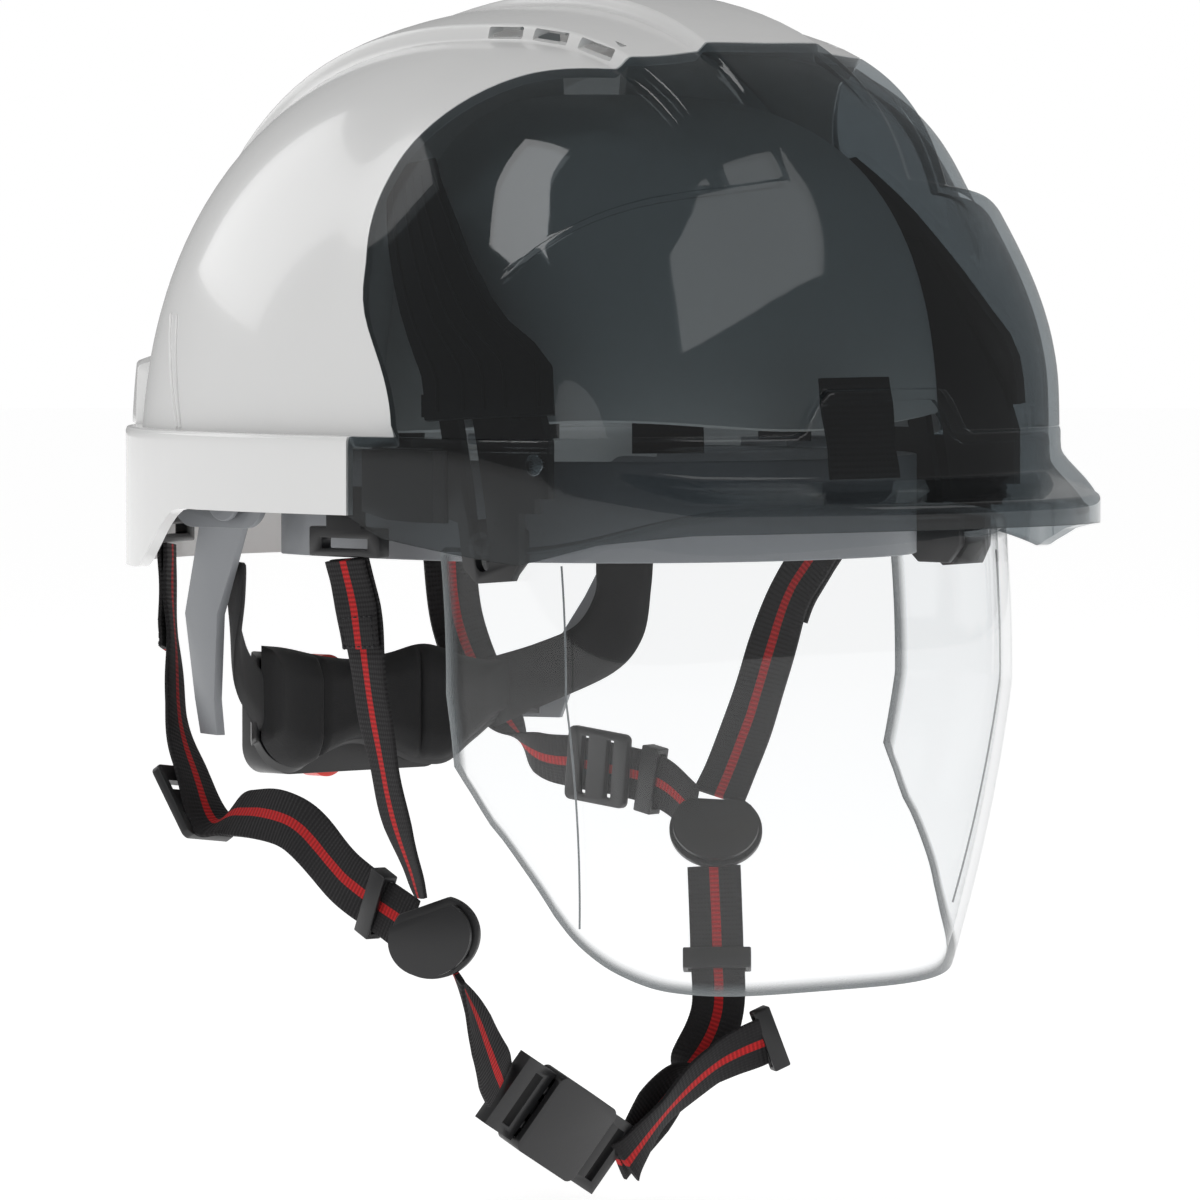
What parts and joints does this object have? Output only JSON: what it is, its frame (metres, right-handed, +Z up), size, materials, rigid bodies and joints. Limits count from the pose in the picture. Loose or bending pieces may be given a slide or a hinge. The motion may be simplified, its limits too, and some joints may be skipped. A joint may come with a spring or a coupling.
{
  "type": "safety helmet with face shield",
  "caption": "Vented safety helmet: white shell, smoke front window, retractable clear face shield, ratchet head cradle and a branched webbing chin strap with a side-release buckle.",
  "frame": {"origin": "centre of the head seat, level with the side skirt's lower edge", "axes": "+Z up through the crown, -Y the way the wearer faces, -X the wearer's right"},
  "size_m": [0.2267, 0.2864, 0.3309],
  "materials": {
    "shell_white": "glossy moulded",
    "window_smoke": "smoke-tinted polycarbonate",
    "liner_white": "satin moulded",
    "shield_clear": "clear hard-coated polycarbonate",
    "cradle_grey": "satin moulded",
    "sweatband_amber": "brushed textile over foam",
    "knob_red": "satin moulded",
    "pinion_white": "moulded",
    "spring_steel": "bright",
    "pad_black": "foam under smooth textile",
    "textile_black": "woven",
    "webbing_black": "ribbed webbing with a red centre stripe",
    "housing_gloss": "glossy moulded",
    "fittings_black": "satin moulded"
  },
  "bodies": {
    "shell": {"outer_shell": "shell_white", "front_window": "window_smoke", "inner_liner": "liner_white", "visor_track_right": "fittings_black", "visor_track_left": "fittings_black", "track_screws": "spring_steel", "headband": "cradle_grey", "front_sweatband": "sweatband_amber", "front_strap_tab": "textile_black", "crown_strap_side": "textile_black", "crown_strap_long": "textile_black", "crown_pad": "pad_black", "cradle_clips": "cradle_grey", "cradle_studs": "cradle_grey", "front_anchor_right": "fittings_black", "front_anchor_left": "fittings_black", "rear_anchor_right": "fittings_black", "rear_anchor_left": "fittings_black", "front_strap_right": "webbing_black", "front_strap_left": "webbing_black", "rear_strap_right": "webbing_black", "rear_strap_left": "webbing_black", "lower_strap_right": "webbing_black", "lower_strap_left": "webbing_black", "tail_strap": "webbing_black", "y_clip_right": "fittings_black", "y_clip_left": "fittings_black", "rear_adjuster_right": "fittings_black", "rear_adjuster_left": "fittings_black", "strap_keepers": "fittings_black", "buckle_female": "fittings_black", "tail_clip": "fittings_black"},
    "visor": {"visor": "shield_clear", "visor_carriage_right": "fittings_black", "visor_carriage_left": "fittings_black", "visor_bosses": "shield_clear"},
    "nape": {"nape_arm_right": "cradle_grey", "nape_arm_left": "cradle_grey", "nape_cradle": "housing_gloss", "nape_pad": "pad_black", "ratchet_housing": "housing_gloss", "ratchet_rack": "cradle_grey", "ratchet_pawl": "spring_steel"},
    "knob": {"ratchet_knob": "knob_red", "ratchet_pinion": "pinion_white"},
    "buckle": {"buckle_male": "fittings_black"},
    "prong_upper": {"buckle_prong_upper": "fittings_black"},
    "prong_lower": {"buckle_prong_lower": "fittings_black"},
    "leaf_right": {"y_leaf_right": "fittings_black"},
    "leaf_left": {"y_leaf_left": "fittings_black"}
  },
  "joints": [
    {"name": "visor_raise", "type": "hinge", "parent": "shell", "child": "visor", "pos_m": [0, 0.242, -0.045], "axis": [-1, 0, 0], "range_deg": [0, 14]},
    {"name": "nape_slide", "type": "slide", "parent": "shell", "child": "nape", "axis": [0, 1, 0], "range_m": [-0.015, 0.005]},
    {"name": "knob_turn", "type": "hinge", "parent": "nape", "child": "knob", "pos_m": [0, 0.1, -0.062], "axis": [0, 1, 0], "range_deg": [-144, 48.5]},
    {"name": "buckle_pull", "type": "slide", "parent": "shell", "child": "buckle", "axis": [-0.8938, -0.136, 0.4274], "range_m": [0, 0.022], "deforming": ["lower_strap_right"]},
    {"name": "prong_upper_press", "type": "slide", "parent": "buckle", "child": "prong_upper", "axis": [-0.4466, 0.3591, -0.8195], "range_m": [0, 0.0012], "stiffness_N_per_m": 300},
    {"name": "prong_lower_press", "type": "slide", "parent": "buckle", "child": "prong_lower", "axis": [0.4466, -0.3591, 0.8195], "range_m": [0, 0.0012], "stiffness_N_per_m": 300},
    {"name": "leaf_right_open", "type": "hinge", "parent": "shell", "child": "leaf_right", "pos_m": [-0.07723, -0.01295, -0.11003], "axis": [-0.387, 0.86, -0.3327], "range_deg": [0, 70]},
    {"name": "leaf_left_open", "type": "hinge", "parent": "shell", "child": "leaf_left", "pos_m": [0.06336, 0.01525, -0.08747], "axis": [-0.6702, 0.7404, 0.0521], "range_deg": [0, 70]}
  ],
  "couplings": [
    {"joint": "knob_turn", "follows": "nape_slide", "rad_per_m": 166.67}
  ]
}
